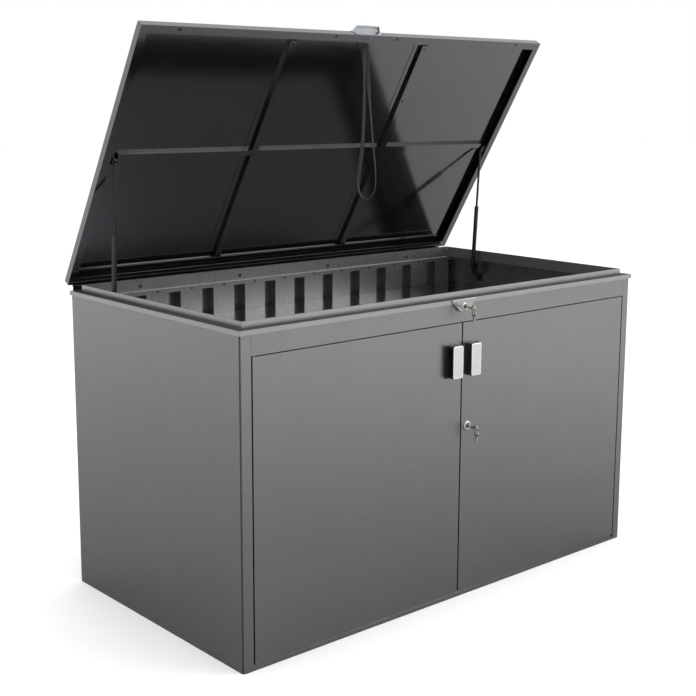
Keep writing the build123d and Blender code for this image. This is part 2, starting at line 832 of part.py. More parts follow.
with BuildPart() as hinge_leaf_lid:
    with BuildSketch(lid_section(-hinge_half_length)):
        rect(lid_rear, lid_rear + sheet, lid_rim + 1, lid_rim + skirt - 2)
        rect(lid_rear, hinge_y - leaf_clear, hinge_z - sheet / 2, hinge_z + sheet / 2)
    extrude(amount=2 * hinge_half_length)
    for start, end in knuckle_spans(1):
        with BuildSketch(lid_section(start)):
            with Locations((hinge_y, hinge_z)):
                Circle(knuckle_radius)
            rect(hinge_y - leaf_clear - 1, hinge_y - 3, hinge_z - sheet / 2, hinge_z + sheet / 2)
            with Locations((hinge_y, hinge_z)):
                Circle(hinge_pin_radius + running_fit, mode=Mode.SUBTRACT)
        extrude(amount=end - start)
save(hinge_leaf_lid, "hinge_leaf_lid")

with BuildPart() as hinge_pin:
    with BuildSketch(side_plane(-hinge_half_length - 1)):
        with Locations((hinge_y, hinge_z)):
            Circle(hinge_pin_radius)
    extrude(amount=2 * hinge_half_length + 2)
save(hinge_pin, "hinge_pin")

# ---- Lid ----
flange_slot = (lid_lock_x - 27, lid_lock_x + 5.5, -424.0, -414.0)
front_plug_spots = [(x, lid_front + 9.5) for x in (-681.0, -125.0, 125.0, 681.0)]
rear_screw_spots = [(index * 193.0 - 579.0, lid_rear - 17.0) for index in range(7)]
flange_plug_head = 5.0

# A shallow fold stiffens the panel along its rear edge, clear of the curb.
rear_fold_half = 770.0
rear_fold_setback = 34.0
rear_fold_depth = 3.2
rear_fold_half_width = 9.0
rivet_stem = 2.0


def hat(centre, base, depth, half, left_flange, right_flange):
    """A hat section hanging from base, flat across the bottom."""
    rect(centre - half, centre + half, base - depth, base)
    rect(centre - half + sheet, centre + half - sheet, base - depth + sheet, base, mode=Mode.SUBTRACT)
    rect(centre - half - left_flange, centre - half + sheet, base - sheet, base)
    rect(centre + half - sheet, centre + half + right_flange, base - sheet, base)


with BuildPart() as lid_panel:
    with BuildSketch(lid_level(lid_rim)):
        rect(-lid_half_width, lid_half_width, lid_front, lid_rear)
        fillet(vertices(), 3)
    extrude(amount=skirt)
    fillet(faces().sort_by(Axis(lid_frame.origin, lid_frame.z_dir))[-1].edges(), 1.6)
    with BuildSketch(lid_level(lid_rim + sheet)):
        rect(-lid_half_width + sheet, lid_half_width - sheet, lid_front + sheet, lid_rear - sheet)
    extrude(amount=skirt - 2 * sheet, mode=Mode.SUBTRACT)
    with BuildSketch(lid_level(lid_rim)):
        rect(
            -lid_half_width + lid_flange,
            lid_half_width - lid_flange,
            lid_front + lid_flange,
            lid_rear - lid_flange,
        )
    extrude(amount=sheet, mode=Mode.SUBTRACT)
    with BuildSketch(lid_level(lid_rim)):
        rect(*flange_slot)
        with Locations(front_plug_spots):
            Circle(plug_stem)
        with Locations(rear_screw_spots):
            Circle(rivet_stem)
    extrude(amount=sheet, mode=Mode.SUBTRACT)
    with BuildSketch(lid_section(-rear_fold_half)):
        hat(lid_rear - rear_fold_setback, lid_under, rear_fold_depth, rear_fold_half_width, 0, 0)
    extrude(amount=2 * rear_fold_half)
save(lid_panel, "lid_panel")

with BuildPart() as flange_plugs:
    with BuildSketch(lid_level(lid_rim - 0.2)):
        with Locations(front_plug_spots):
            Circle(flange_plug_head)
    extrude(amount=0.2)
    with BuildSketch(lid_level(lid_rim)):
        with Locations(front_plug_spots):
            Circle(plug_stem)
    extrude(amount=sheet + 3)
save(flange_plugs, "flange_plugs")

# Stiffening ribs under the lid panel: hat sections with one wide flange, which the cross ribs interrupt.
rib_depth = 12.0
rib_half = 11.5
rib_flange = 26.0
rib_front = lid_rear - 839.0
rib_rear = lid_rear - 47.0
left_rib_x = -268.0
right_rib_x = 270.0
cross_rib_y = -6.3
cross_rib_half = 9.0
cross_rib_flange = 18.7
rib_gap = 1.0

with BuildPart() as lid_ribs:
    with BuildSketch(lid_front_plane(rib_rear)):
        for centre in (left_rib_x, right_rib_x):
            hat(centre, lid_under, rib_depth, rib_half, rib_flange, 0)
    extrude(amount=rib_rear - rib_front)
    with BuildSketch(lid_level(lid_under - sheet)):
        for centre in (left_rib_x, right_rib_x):
            rect(
                centre - rib_half - rib_flange,
                centre - rib_half,
                cross_rib_y - cross_rib_half - rib_gap,
                cross_rib_y + cross_rib_half + cross_rib_flange + rib_gap,
            )
    extrude(amount=sheet, mode=Mode.SUBTRACT)
save(lid_ribs, "lid_ribs")

cross_end = 752.0
cross_spans = [
    (-cross_end, left_rib_x - rib_half - rib_gap),
    (left_rib_x + rib_half + rib_gap, right_rib_x - rib_half - rib_gap),
    (right_rib_x + rib_half + rib_gap, cross_end),
]
with BuildPart() as cross_ribs:
    for start, end in cross_spans:
        with BuildSketch(lid_section(start)):
            hat(cross_rib_y, lid_under, rib_depth, cross_rib_half, 0, cross_rib_flange)
        extrude(amount=end - start)
save(cross_ribs, "cross_ribs")

# Rivets: five along each long rib's face, and a row in the panel's rear flange.
rib_rivet_spots = []
for rib_x in (left_rib_x, right_rib_x):
    for step in range(5):
        rivet_y = rib_front + 12 + step * (rib_rear - rib_front - 24) / 4
        rib_rivet_spots.append((rib_x, rivet_y))
with BuildPart() as lid_rivets:
    with BuildSketch(lid_level(lid_under - rib_depth - 1.2)):
        with Locations(rib_rivet_spots):
            Circle(3.0)
    extrude(amount=1.2)
    with BuildSketch(lid_level(lid_rim - 0.2)):
        with Locations(rear_screw_spots):
            Circle(3.0)
    extrude(amount=0.2)
    with BuildSketch(lid_level(lid_rim - 0.2)):
        with Locations(rear_screw_spots):
            Circle(rivet_stem)
    extrude(amount=4)
save(lid_rivets, "lid_rivets")

# Lid pull: a plated piece on the front skirt with a grip that stands forward of the lid.
pull_plate = 1.6
pull_half_rim = 46.0
pull_half_top = 61.0
pull_half_tip = 44.0
pull_reach = 21.0
pull_centre = 4.0

with BuildPart() as lid_pull:
    with BuildSketch(lid_front_plane(lid_front)):
        with BuildLine():
            Polyline(
                (pull_centre - pull_half_rim, lid_rim + 0.5),
                (pull_centre + pull_half_rim, lid_rim + 0.5),
                (pull_centre + pull_half_top, lid_rim + skirt),
                (pull_centre - pull_half_top, lid_rim + skirt),
                close=True,
            )
        make_face()
    extrude(amount=pull_plate)
    with BuildSketch(lid_level(lid_rim + skirt - 6)):
        with BuildLine():
            Polyline(
                (pull_centre - pull_half_top + 4, lid_front),
                (pull_centre + pull_half_top - 4, lid_front),
                (pull_centre + pull_half_tip, lid_front - pull_reach),
                (pull_centre - pull_half_tip, lid_front - pull_reach),
                close=True,
            )
        make_face()
    extrude(amount=6)
    with BuildSketch(lid_level(lid_rim + skirt - 8)):
        with BuildLine():
            Polyline(
                (pull_centre - pull_half_top + 8, lid_front - pull_plate),
                (pull_centre + pull_half_top - 8, lid_front - pull_plate),
                (pull_centre + pull_half_tip - 1, lid_front - pull_reach + pull_plate),
                (pull_centre - pull_half_tip + 1, lid_front - pull_reach + pull_plate),
                close=True,
            )
        make_face()
    extrude(amount=8 - pull_plate, mode=Mode.SUBTRACT)
save(lid_pull, "lid_pull")

# ---- Gas struts ----


def rotate_closed(point):
    """Moves a (y, z) point of the closed lid to the open lid."""
    y = point[0] - hinge_y
    z = point[1] - hinge_z
    y_open = y * cos(open_rad) + z * sin(open_rad)
    z_open = z * cos(open_rad) - y * sin(open_rad)
    return hinge_y + y_open, hinge_z + z_open


strut_head = rotate_closed(strut_head_closed)
strut_run = (strut_head[0] - strut_foot[0], strut_head[1] - strut_foot[1])
strut_length = (strut_run[0] ** 2 + strut_run[1] ** 2) ** 0.5
closed_run = (strut_head_closed[0] - strut_foot[0], strut_head_closed[1] - strut_foot[1])
closed_length = (closed_run[0] ** 2 + closed_run[1] ** 2) ** 0.5
strut_stroke = strut_length - closed_length
strut_direction = Vector(0, strut_run[0] / strut_length, strut_run[1] / strut_length)

tube_bore = 6.2
tube_start = 12.0
cap_length = 5.0
piston_length = 10.0
rod_play = 0.05


def strut_plane(side, distance):
    """A plane across a strut, that far from its foot."""
    origin = Vector(side * strut_x, strut_foot[0], strut_foot[1]) + strut_direction * distance
    return Plane(origin=origin, x_dir=(1, 0, 0), z_dir=strut_direction)


def eye(side, centre, neck_from, neck_to, hole):
    """A flat eye on a pivot, with a neck along the strut."""
    across = side_plane(side * strut_x - eye_half)
    with BuildSketch(across) as disc:
        with Locations(centre):
            Circle(eye_radius)
    extrude(disc.sketch, amount=2 * eye_half)
    with BuildSketch(strut_plane(side, neck_from)) as neck:
        Rectangle(2 * eye_half, 9)
    extrude(neck.sketch, amount=neck_to - neck_from)
    with BuildSketch(across) as bore:
        with Locations(centre):
            Circle(hole)
    extrude(bore.sketch, amount=2 * eye_half, mode=Mode.SUBTRACT)


def make_strut(side, word):
    with BuildPart() as tube:
        with BuildSketch(strut_plane(side, tube_start)):
            Circle(tube_radius)
        extrude(amount=tube_length - tube_start)
        with BuildSketch(strut_plane(side, tube_start + 4)):
            Circle(tube_bore)
        extrude(amount=tube_length - tube_start - 4 - cap_length, mode=Mode.SUBTRACT)
        with BuildSketch(strut_plane(side, tube_start + 4)):
            Circle(rod_radius + rod_play)
        extrude(amount=tube_length, mode=Mode.SUBTRACT)
        eye(side, strut_foot, 4, tube_start, stud_radius + running_fit)
    save(tube, f"strut_tube_{word}")
    with BuildPart() as rod:
        piston_start = tube_length - cap_length - piston_length - 2
        with BuildSketch(strut_plane(side, piston_start)):
            Circle(tube_bore - rod_play)
        extrude(amount=piston_length)
        with BuildSketch(strut_plane(side, piston_start)):
            Circle(rod_radius)
        extrude(amount=strut_length - piston_start - 8)
        eye(side, strut_head, strut_length - 16, strut_length - 4, stud_radius + running_fit)
    save(rod, f"strut_rod_{word}")


make_strut(-1, "left")
make_strut(1, "right")

plate_gap = 5.2
plate_thick = 3.0
with BuildPart() as strut_foot_brackets:
    foot_y, foot_z = strut_foot
    for side in (-1, 1):
        wall = side * (half_width - sheet)
        plate = side * (strut_x + eye_half + plate_gap)
        head = side * (strut_x - eye_half - 1)
        spans = [
            (plate, plate + side * plate_thick, foot_z - 34, foot_z + 10),
            (plate, wall, foot_z - 34, foot_z - 31),
            (wall - side * plate_thick, wall, foot_z - 60, foot_z - 31),
        ]
        for start, end, z_low, z_high in spans:
            with BuildSketch(side_plane(min(start, end))):
                rect(foot_y - 14, foot_y + 14, z_low, z_high)
            extrude(amount=abs(end - start))
        for start, end, radius in ((head, plate, stud_radius), (head - side * 2.5, head, stud_radius + 2)):
            with BuildSketch(side_plane(min(start, end))):
                with Locations(strut_foot):
                    Circle(radius)
            extrude(amount=abs(end - start))
save(strut_foot_brackets, "strut_foot_brackets")

# The head studs stop just short of the rods' eyes: this pivot is the open one of the linkage.
head_gap = 0.8
with BuildPart() as strut_head_brackets:
    head_y, head_z = strut_head_closed
    for side in (-1, 1):
        plate = side * (strut_x + eye_half + 4)
        stud = side * (strut_x + eye_half + head_gap)
        with BuildSketch(lid_section(min(plate, plate + side * plate_thick))):
            rect(head_y - 12, head_y + 12, head_z - 7, lid_under)
        extrude(amount=plate_thick)
        with BuildSketch(lid_section(min(plate + side * plate_thick, plate - side * 12))):
            rect(head_y - 40, head_y + 12, lid_under - 2, lid_under)
        extrude(amount=12 + plate_thick)
        with BuildSketch(lid_section(min(stud, plate))):
            with Locations(strut_head_closed):
                Circle(stud_radius + 1)
        extrude(amount=abs(plate - stud))
save(strut_head_brackets, "strut_head_brackets")

# ---- Pull strap: a loop of webbing that hangs from under the lid's front edge ----
strap_anchor_y = lid_rear - 834.0
strap_bar_x = 7.5
strap_bar_half = 19.0
strap_bar_thick = 2.5
strap_width = 15.0
strap_thickness = 2.0
# Points of the loop down its right leg and up its left one: x, and drop under the bar.
strap_route = (
    (17, 0),
    (26, 110),
    (40, 235),
    (51, 326),
    (59, 378),
    (62, 430),
    (52, 466),
    (24, 480),
    (-6, 464),
    (-16, 430),
    (-6, 372),
    (3, 326),
    (9, 235),
    (11, 110),
    (7, 0),
)

with BuildPart() as strap_anchor:
    with BuildSketch(lid_level(lid_under - strap_bar_thick)):
        rect(
            strap_bar_x - strap_bar_half,
            strap_bar_x + strap_bar_half,
            strap_anchor_y - 5,
            strap_anchor_y + 9,
        )
    extrude(amount=strap_bar_thick)
save(strap_anchor, "strap_anchor")

anchor_top = rotate_closed((strap_anchor_y + 2, lid_under - strap_bar_thick))
strap_top = anchor_top[1] - 0.4
strap_points = [(x, strap_top - drop) for x, drop in strap_route]
with BuildPart() as lid_strap:
    with BuildSketch(front_plane(anchor_top[0])):
        with BuildLine():
            Polyline(*strap_points, close=True)
        make_face()
        offset(amount=-strap_thickness, kind=Kind.INTERSECTION, mode=Mode.SUBTRACT)
    extrude(amount=strap_width)
save(lid_strap, "lid_strap")
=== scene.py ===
import bpy, bmesh, json, math
from mathutils import Vector, Matrix


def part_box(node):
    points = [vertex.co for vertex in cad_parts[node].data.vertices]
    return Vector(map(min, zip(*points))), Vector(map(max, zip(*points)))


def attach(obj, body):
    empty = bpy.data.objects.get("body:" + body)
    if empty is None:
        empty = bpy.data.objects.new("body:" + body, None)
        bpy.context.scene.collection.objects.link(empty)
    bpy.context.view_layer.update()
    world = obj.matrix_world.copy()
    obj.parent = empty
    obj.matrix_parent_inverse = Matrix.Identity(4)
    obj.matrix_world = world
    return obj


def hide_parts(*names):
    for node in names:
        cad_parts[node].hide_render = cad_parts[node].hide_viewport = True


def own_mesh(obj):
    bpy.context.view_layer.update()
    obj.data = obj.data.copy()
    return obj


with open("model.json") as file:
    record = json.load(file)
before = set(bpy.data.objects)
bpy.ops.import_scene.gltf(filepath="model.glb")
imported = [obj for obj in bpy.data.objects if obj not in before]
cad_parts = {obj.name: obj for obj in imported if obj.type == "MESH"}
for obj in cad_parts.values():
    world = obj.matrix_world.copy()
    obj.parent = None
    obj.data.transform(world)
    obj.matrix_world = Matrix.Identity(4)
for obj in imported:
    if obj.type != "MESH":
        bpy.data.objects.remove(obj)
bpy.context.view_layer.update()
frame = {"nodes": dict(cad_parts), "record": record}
nodes = frame["nodes"]
mm = 0.001


def hexColor(code):
    parts = [int(code[i:i + 2], 16) / 255 for i in (0, 2, 4)]
    linear = [c / 12.92 if c <= 0.04045 else ((c + 0.055) / 1.055) ** 2.4 for c in parts]
    return (*linear, 1.0)


def addNode(tree, kind, settings=None, links=None):
    node = tree.nodes.new(kind)
    for name, value in (settings or {}).items():
        if name in node.inputs:
            node.inputs[name].default_value = value
        else:
            setattr(node, name, value)
    for name, source in (links or {}).items():
        tree.links.new(source, node.inputs[name])
    return node


def newMaterial(name):
    mat = bpy.data.materials.new(name)
    mat.use_nodes = True
    mat.node_tree.nodes.clear()
    return mat, mat.node_tree


def finishMaterial(tree, shader):
    out = addNode(tree, "ShaderNodeOutputMaterial")
    tree.links.new(shader.outputs[0], out.inputs["Surface"])


# camera: front left of the box and a little above it
view = {"place": (-2.6027, -2.9029, 1.4940), "turn": -41.401, "down": 9.925, "roll": 0.293,
        "lens": 64.39, "shift": (-0.00965, -0.04788)}

camData = bpy.data.cameras.new("camera")
camData.sensor_width = 36
camData.lens = view["lens"]
camData.shift_x, camData.shift_y = view["shift"]
cam = bpy.data.objects.new("camera", camData)
bpy.context.scene.collection.objects.link(cam)
cam.matrix_world = (Matrix.Translation(view["place"])
                    @ Matrix.Rotation(math.radians(view["turn"]), 4, "Z")
                    @ Matrix.Rotation(math.radians(90 - view["down"]), 4, "X")
                    @ Matrix.Rotation(math.radians(view["roll"]), 4, "Z"))
bpy.context.scene.camera = cam
print("camera ready")

# soft white studio: the camera sees plain white, while reflections see a dimmer wall
# and a floor with a painted shadow, darker near the box
studio = {"ceiling": 1.25, "wall": 0.95, "floor": "fbfbfb", "floorShadowNear": "8c8c8c",
          "floorFar": "f0f0f0", "nearRadius": 0.9, "farRadius": 7.0, "floorSize": 30,
          "floorDrop": 0.5 * mm, "floorRoughness": 0.8}

bpy.context.scene.view_settings.view_transform = "Standard"

world = bpy.data.worlds.new("studio")
world.use_nodes = True
tree = world.node_tree
tree.nodes.clear()
coords = addNode(tree, "ShaderNodeTexCoord")
height = addNode(tree, "ShaderNodeSeparateXYZ", links={"Vector": coords.outputs["Generated"]})
ramp = addNode(tree, "ShaderNodeValToRGB", links={"Fac": height.outputs["Z"]})
ramp.color_ramp.elements[0].color = (studio["wall"],) * 3 + (1,)
ramp.color_ramp.elements[1].color = (studio["ceiling"],) * 3 + (1,)
seen = addNode(tree, "ShaderNodeLightPath")
soft = addNode(tree, "ShaderNodeBackground", links={"Color": ramp.outputs["Color"]})
white = addNode(tree, "ShaderNodeBackground", {"Color": (1, 1, 1, 1), "Strength": 1.0})
both = addNode(tree, "ShaderNodeMixShader")
tree.links.new(seen.outputs["Is Camera Ray"], both.inputs[0])
tree.links.new(soft.outputs[0], both.inputs[1])
tree.links.new(white.outputs[0], both.inputs[2])
tree.links.new(both.outputs[0], addNode(tree, "ShaderNodeOutputWorld").inputs["Surface"])
bpy.context.scene.world = world


def softLight(name, place, aim, size, power):
    data = bpy.data.lights.new(name, "AREA")
    data.shape = "RECTANGLE"
    data.size, data.size_y = size
    data.energy = power
    lamp = bpy.data.objects.new(name, data)
    bpy.context.scene.collection.objects.link(lamp)
    direction = Vector(aim) - Vector(place)
    turn = direction.to_track_quat("-Z", "Y").to_matrix().to_4x4()
    lamp.matrix_world = Matrix.Translation(place) @ turn


lamps = {"frontBox": {"place": (3.4, -4.2, 2.6), "aim": (0.3, 0, 0.6), "size": (2.6, 2.0), "power": 70},
         "topBox": {"place": (0, -0.6, 5.0), "aim": (0, 0, 0.5), "size": (4.0, 3.4), "power": 90}}
for name, lamp in lamps.items():
    softLight(name, **lamp)

floorMesh = bpy.data.meshes.new("floor")
bm = bmesh.new()
bmesh.ops.create_grid(bm, x_segments=1, y_segments=1, size=studio["floorSize"])
bmesh.ops.translate(bm, verts=bm.verts, vec=(0, 0, -studio["floorDrop"]))
bm.to_mesh(floorMesh)
bm.free()
floor = bpy.data.objects.new("floor", floorMesh)
bpy.context.scene.collection.objects.link(floor)
floorMat, tree = newMaterial("paleStudioFloor")
coords = addNode(tree, "ShaderNodeTexCoord")
reach = addNode(tree, "ShaderNodeVectorMath", {"operation": "LENGTH"}, {"Vector": coords.outputs["Object"]})
fade = addNode(tree, "ShaderNodeMapRange",
               {"From Min": studio["nearRadius"], "From Max": studio["farRadius"]},
               {"Value": reach.outputs["Value"]})
# painted shadow: the floor's tone is darker near the box and paler far out, and only reflections see it
tone = addNode(tree, "ShaderNodeMix", {"data_type": "RGBA"}, {"Factor": fade.outputs["Result"]})
tone.inputs[6].default_value = hexColor(studio["floorShadowNear"])
tone.inputs[7].default_value = hexColor(studio["floorFar"])
seen = addNode(tree, "ShaderNodeLightPath")
seenTone = addNode(tree, "ShaderNodeMix", {"data_type": "RGBA"}, {"Factor": seen.outputs["Is Camera Ray"]})
tree.links.new(tone.outputs[2], seenTone.inputs[6])
seenTone.inputs[7].default_value = hexColor(studio["floor"])
shade = addNode(tree, "ShaderNodeBsdfPrincipled", {"Roughness": studio["floorRoughness"]})
tree.links.new(seenTone.outputs[2], shade.inputs["Base Color"])
finishMaterial(tree, shade)
floorMesh.materials.append(floorMat)
print("studio ready")


def powderCoat(name, color, darker, roughness, metallic):
    # polyester powder coat over steel: a fine orange peel, faint clouding, and sheet that isn't quite flat,
    # with painted shade in its seams
    mat, tree = newMaterial(name)
    coords = addNode(tree, "ShaderNodeTexCoord")
    where = coords.outputs["Object"]
    # 2.4 mm peel
    peel = addNode(tree, "ShaderNodeTexNoise", {"Scale": 420.0, "Detail": 2.0}, {"Vector": where})
    # 0.6 m swells
    wave = addNode(tree, "ShaderNodeTexNoise", {"Scale": 1.6, "Detail": 1.0}, {"Vector": where})
    cloud = addNode(tree, "ShaderNodeTexNoise", {"Scale": 7.0, "Detail": 4.0, "Roughness": 0.6},
                    {"Vector": where})
    rub = addNode(tree, "ShaderNodeTexNoise", {"Scale": 60.0, "Detail": 5.0}, {"Vector": where})
    waveBump = addNode(tree, "ShaderNodeBump", {"Strength": 0.2, "Distance": 0.003},
                       {"Height": wave.outputs["Fac"]})
    bump = addNode(tree, "ShaderNodeBump", {"Strength": 0.012, "Distance": 0.0002},
                   {"Height": peel.outputs["Fac"], "Normal": waveBump.outputs["Normal"]})
    # painted shade in the seams: the colour darkens within 14 mm of a neighbour
    crease = addNode(tree, "ShaderNodeAmbientOcclusion", {"samples": 6, "Distance": 0.014})
    tint = addNode(tree, "ShaderNodeMix", {"data_type": "RGBA"}, {"Factor": cloud.outputs["Fac"]})
    tint.inputs[6].default_value = hexColor(darker)
    tint.inputs[7].default_value = hexColor(color)
    gloss = addNode(tree, "ShaderNodeMapRange",
                    {"From Min": 0.3, "From Max": 0.7,
                     "To Min": roughness - 0.01, "To Max": roughness + 0.02},
                    {"Value": rub.outputs["Fac"]})
    seamShadeMask = addNode(tree, "ShaderNodeMapRange", {"From Min": 0.15, "From Max": 0.5},
                   {"Value": crease.outputs["AO"]})
    paintedSeamShade = addNode(tree, "ShaderNodeMix", {"data_type": "RGBA"}, {"Factor": seamShadeMask.outputs["Result"]})
    # near-black of the painted shade laid into seams and gaps
    paintedSeamShade.inputs[6].default_value = hexColor("101010")
    tree.links.new(tint.outputs[2], paintedSeamShade.inputs[7])
    shade = addNode(tree, "ShaderNodeBsdfPrincipled", {"Metallic": metallic},
                    {"Base Color": paintedSeamShade.outputs[2], "Roughness": gloss.outputs["Result"],
                     "Normal": bump.outputs["Normal"]})
    finishMaterial(tree, shade)
    return mat


def metalFinish(name, color, darker, roughness, grain, stretch=(1, 1, 1), metallic=1.0):
    # plated, drawn or brushed metal: the stretch sets the way that the grain runs
    mat, tree = newMaterial(name)
    coords = addNode(tree, "ShaderNodeTexCoord")
    lay = addNode(tree, "ShaderNodeMapping", {"Scale": stretch}, {"Vector": coords.outputs["Object"]})
    lines = addNode(tree, "ShaderNodeTexNoise", {"Scale": grain, "Detail": 6.0, "Roughness": 0.65},
                    {"Vector": lay.outputs["Vector"]})
    stain = addNode(tree, "ShaderNodeTexNoise", {"Scale": 45.0, "Detail": 3.0},
                    {"Vector": coords.outputs["Object"]})
    tint = addNode(tree, "ShaderNodeMix", {"data_type": "RGBA"}, {"Factor": stain.outputs["Fac"]})
    tint.inputs[6].default_value = hexColor(darker)
    tint.inputs[7].default_value = hexColor(color)
    gloss = addNode(tree, "ShaderNodeMapRange",
                    {"From Min": 0.3, "From Max": 0.7,
                     "To Min": roughness - 0.03, "To Max": roughness + 0.06},
                    {"Value": lines.outputs["Fac"]})
    bump = addNode(tree, "ShaderNodeBump", {"Strength": 0.3, "Distance": 0.1 * mm},
                   {"Height": lines.outputs["Fac"]})
    shade = addNode(tree, "ShaderNodeBsdfPrincipled", {"Metallic": metallic},
                    {"Base Color": tint.outputs[2], "Roughness": gloss.outputs["Result"],
                     "Normal": bump.outputs["Normal"]})
    finishMaterial(tree, shade)
    return mat


def spangledZinc(name, color, darker, roughness):
    # hot-dip galvanised strip: flat crystals about 12 mm across, each with its own tone
    mat, tree = newMaterial(name)
    coords = addNode(tree, "ShaderNodeTexCoord")
    spangle = addNode(tree, "ShaderNodeTexVoronoi", {"Scale": 85.0}, {"Vector": coords.outputs["Object"]})
    grey = addNode(tree, "ShaderNodeRGBToBW", links={"Color": spangle.outputs["Color"]})
    tint = addNode(tree, "ShaderNodeMix", {"data_type": "RGBA"}, {"Factor": grey.outputs["Val"]})
    tint.inputs[6].default_value = hexColor(darker)
    tint.inputs[7].default_value = hexColor(color)
    gloss = addNode(tree, "ShaderNodeMapRange", {"To Min": roughness - 0.1, "To Max": roughness + 0.1},
                    {"Value": grey.outputs["Val"]})
    bump = addNode(tree, "ShaderNodeBump", {"Strength": 0.2, "Distance": 0.0001},
                   {"Height": spangle.outputs["Distance"]})
    shade = addNode(tree, "ShaderNodeBsdfPrincipled", {"Metallic": 1.0},
                    {"Base Color": tint.outputs[2], "Roughness": gloss.outputs["Result"],
                     "Normal": bump.outputs["Normal"]})
    finishMaterial(tree, shade)
    return mat


def mouldedPlastic(name, color, darker, roughness, grain, depth):
    # moulded nylon or rubber: a fine sparked texture, with paler rubbed patches
    mat, tree = newMaterial(name)
    coords = addNode(tree, "ShaderNodeTexCoord")
    spark = addNode(tree, "ShaderNodeTexNoise", {"Scale": grain, "Detail": 3.0},
                    {"Vector": coords.outputs["Object"]})
    rubbed = addNode(tree, "ShaderNodeTexNoise", {"Scale": 30.0, "Detail": 4.0},
                     {"Vector": coords.outputs["Object"]})
    tint = addNode(tree, "ShaderNodeMix", {"data_type": "RGBA"}, {"Factor": rubbed.outputs["Fac"]})
    tint.inputs[6].default_value = hexColor(darker)
    tint.inputs[7].default_value = hexColor(color)
    gloss = addNode(tree, "ShaderNodeMapRange",
                    {"From Min": 0.3, "From Max": 0.7,
                     "To Min": roughness - 0.08, "To Max": roughness + 0.08},
                    {"Value": rubbed.outputs["Fac"]})
    bump = addNode(tree, "ShaderNodeBump", {"Strength": 0.4, "Distance": depth},
                   {"Height": spark.outputs["Fac"]})
    shade = addNode(tree, "ShaderNodeBsdfPrincipled", {"IOR": 1.5},
                    {"Base Color": tint.outputs[2], "Roughness": gloss.outputs["Result"],
                     "Normal": bump.outputs["Normal"]})
    finishMaterial(tree, shade)
    return mat


def wovenWebbing(name, color, darker):
    # polyester webbing: slanting ribs on the tape's own UV, with a fine fuzz over them
    mat, tree = newMaterial(name)
    coords = addNode(tree, "ShaderNodeTexCoord")
    weave = addNode(tree, "ShaderNodeMapping", {"Scale": (260.0, 120.0, 1.0)},
                    {"Vector": coords.outputs["UV"]})
    ribs = addNode(tree, "ShaderNodeTexWave",
                   {"wave_type": "BANDS", "bands_direction": "DIAGONAL", "Scale": 1.0, "Distortion": 0.6},
                   {"Vector": weave.outputs["Vector"]})
    fuzz = addNode(tree, "ShaderNodeTexNoise", {"Scale": 900.0, "Detail": 2.0},
                   {"Vector": coords.outputs["Object"]})
    both = addNode(tree, "ShaderNodeMath", {"operation": "MULTIPLY"})
    tree.links.new(ribs.outputs["Fac"], both.inputs[0])
    tree.links.new(fuzz.outputs["Fac"], both.inputs[1])
    tint = addNode(tree, "ShaderNodeMix", {"data_type": "RGBA"}, {"Factor": both.outputs[0]})
    tint.inputs[6].default_value = hexColor(darker)
    tint.inputs[7].default_value = hexColor(color)
    bump = addNode(tree, "ShaderNodeBump", {"Strength": 0.6, "Distance": 0.0004},
                   {"Height": both.outputs[0]})
    shade = addNode(tree, "ShaderNodeBsdfPrincipled",
                    {"Roughness": 0.75, "Sheen Weight": 0.05, "Sheen Roughness": 0.4},
                    {"Base Color": tint.outputs[2], "Normal": bump.outputs["Normal"]})
    finishMaterial(tree, shade)
    return mat


slots = {
    "body_paint": powderCoat("powderCoatedSteel", "8b8b8b", "838484", 0.28, 0.88),
    "lid_paint": powderCoat("powderCoatedLidSteel", "78787a", "707173", 0.09, 0.97),
    "runner_steel": spangledZinc("galvanisedSteel", "a6a8aa", "84878a", 0.45),
    "black_metal": mouldedPlastic("blackEnamelledSteel", "1b1b1d", "121214", 0.3, 500.0, 0.0001),
    "rod_steel": metalFinish("nitridedRodSteel", "3c3c40", "2e2e32", 0.2, 900.0, (1, 1, 0.1)),
    "zinc_steel": spangledZinc("brightZincPlate", "b4b6b8", "9c9fa2", 0.35),
    "dark_rivet": metalFinish("phosphatedRivetSteel", "303033", "222225", 0.4, 400.0, metallic=0.6),
    "black_plastic": mouldedPlastic("blackNylon", "242527", "18191a", 0.38, 900.0, 0.0001),
    "seal_rubber": mouldedPlastic("epdmSealRubber", "222222", "181818", 0.75, 700.0, 0.0002),
    "latch_chrome": metalFinish("satinChromePlate", "cfcfcd", "b4b4b2", 0.16, 500.0),
    "lock_core_metal": metalFinish("turnedLockSteel", "7c7c7a", "5e5e5c", 0.25, 700.0),
    "handle_silver": metalFinish("silverAnodisedAluminium", "d9dbda", "d0d2d1", 0.42, 700.0, (6, 6, 0.3)),
    "key_nickel": metalFinish("nickelPlatedKey", "cfcdc4", "b4b2a8", 0.25, 600.0),
    "ring_steel": metalFinish("drawnRingWire", "a8a8a4", "90908c", 0.25, 800.0),
    "strap_webbing": wovenWebbing("polyesterWebbing", "171717", "0a0a0a"),
}
special = {
    "lid_pull": metalFinish("satinNickelPull", "b9bbbd", "a4a7aa", 0.3, 400.0, (0.3, 6, 6)),
    "strut_head_brackets": slots["lid_paint"],
    # the rim is painted paler than the body: a painted highlight for the light on its rounded lip
    "rim_front": powderCoat("powderCoatedRimPaintedHighlight", "a0a1a1", "989999", 0.3, 0.86),
    "lid_lock_cover": metalFinish("satinChromeCover", "b6b6b3", "969693", 0.2, 500.0),
    # the deck is painted darker than the body: painted shade for the inside of the box
    "inner_deck": powderCoat("powderCoatedDeckPaintedShade", "5c5d5f", "545557", 0.16, 0.95),
}
special["rim_left"] = special["rim_right"] = special["rim_front"]
polishedBevel = metalFinish("diamondCutAluminium", "fafafa", "f0f0f0", 0.3, 700.0)
for part in frame["record"]["subparts"]:
    piece = nodes[part["node"]]
    piece.data.materials.clear()
    piece.data.materials.append(special.get(part["node"], slots[part["material_slot"]]))
print("finishes ready")


creaseAngle = math.radians(32)


